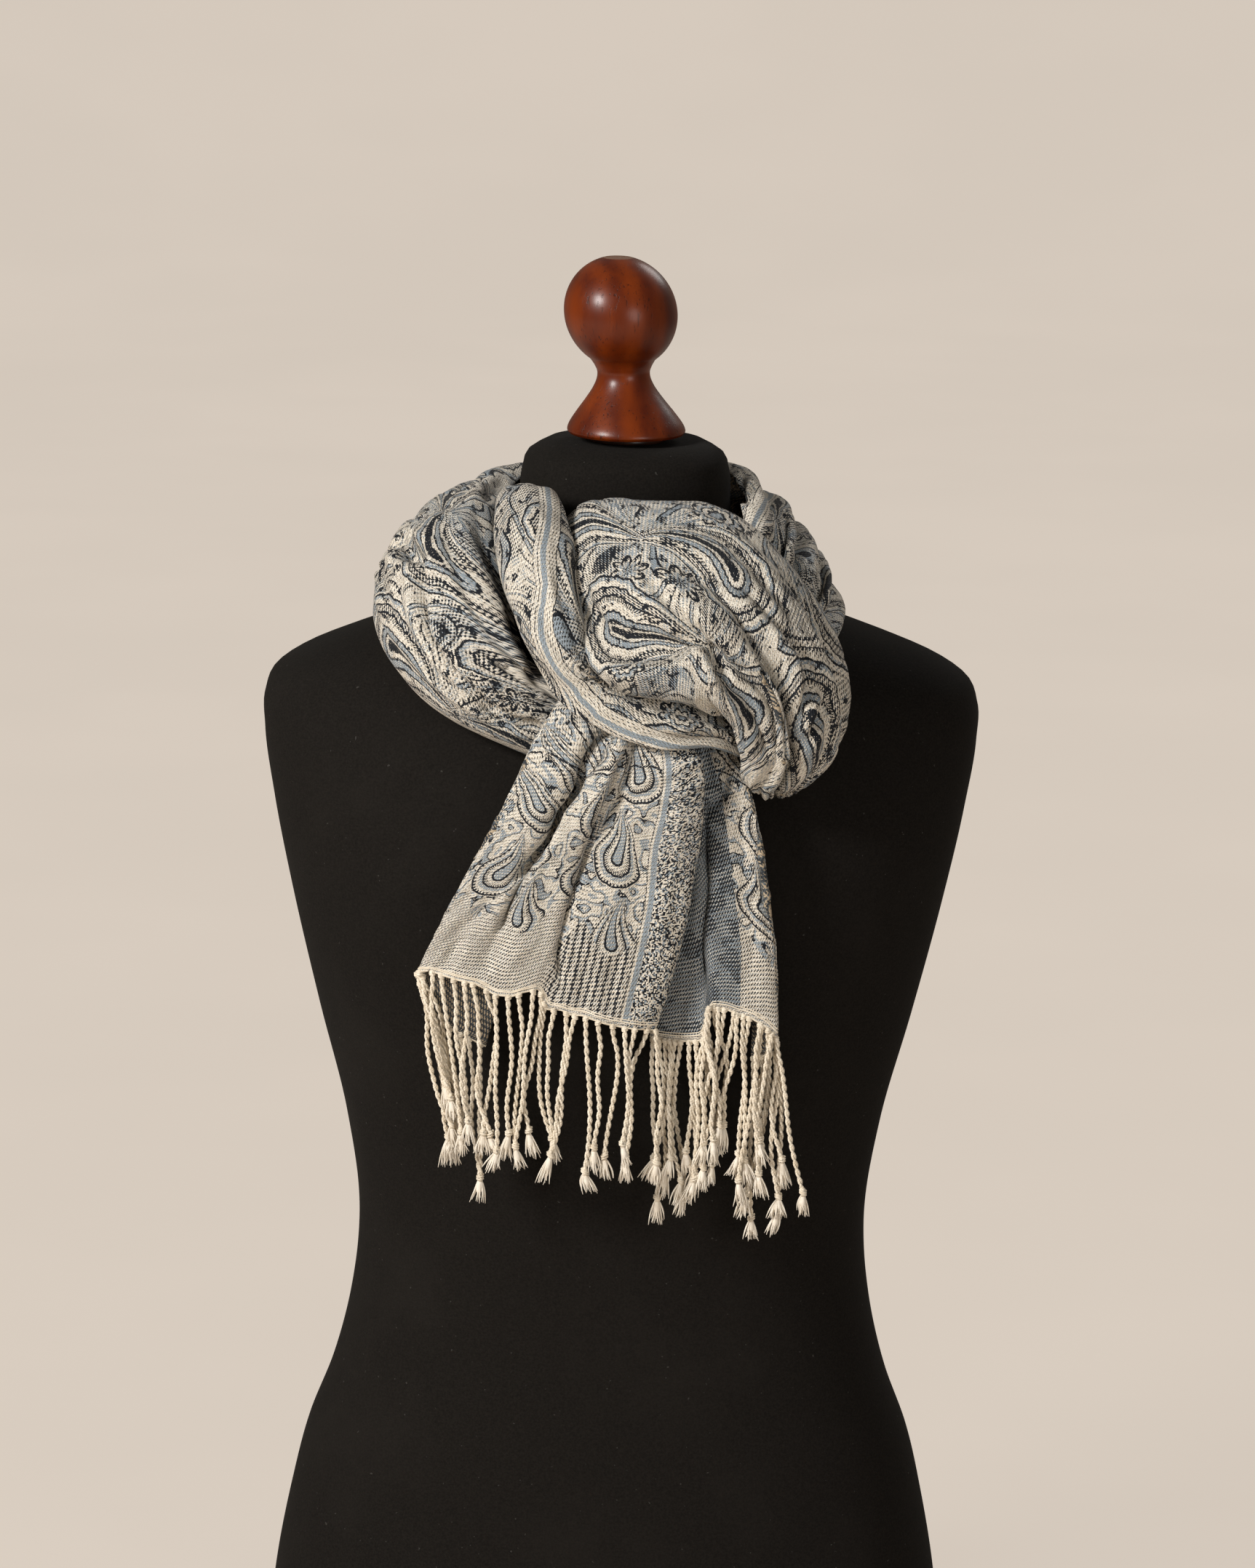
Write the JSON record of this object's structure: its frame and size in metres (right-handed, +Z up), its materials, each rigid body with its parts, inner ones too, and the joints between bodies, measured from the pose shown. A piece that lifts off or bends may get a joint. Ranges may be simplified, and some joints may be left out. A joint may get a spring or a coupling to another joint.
{
  "type": "jacquard shawl tied on a limbless dress form with a wooden neck knob",
  "caption": "Soft patterned shawl with fringed ends, tied in a pull-through knot round the neck of a black limbless dress form that stands on its flat base under a turned wooden neck knob.",
  "frame": {"origin": "middle of the dress form's flat base, on the surface it stands on", "axes": "+Z up along the form to its knob, -Y out of the form's chest towards the picture's camera, +X to the viewer's right"},
  "size_m": [0.368, 0.2798, 0.8],
  "materials": {
    "jersey": "matte black stretch jersey",
    "dark_wood": "dark stained wood",
    "wood": "glossy reddish brown lacquered wood",
    "jacquard": "soft woven jacquard in cream, dusty blue and near black",
    "fringe": "twisted cream yarn"
  },
  "bodies": {
    "root": {"dress_form": "jersey", "knob_plinth": "dark_wood", "knob": "wood", "right_rolls": "jacquard", "neck_back": "jacquard", "left_lobe": "jacquard", "loop_under": "jacquard", "bight_turn": "jacquard", "cowl": "jacquard", "tail_front": "jacquard", "tail_rear": "jacquard", "fringe_front": "fringe", "fringe_rear": "fringe"}
  },
  "joints": []
}
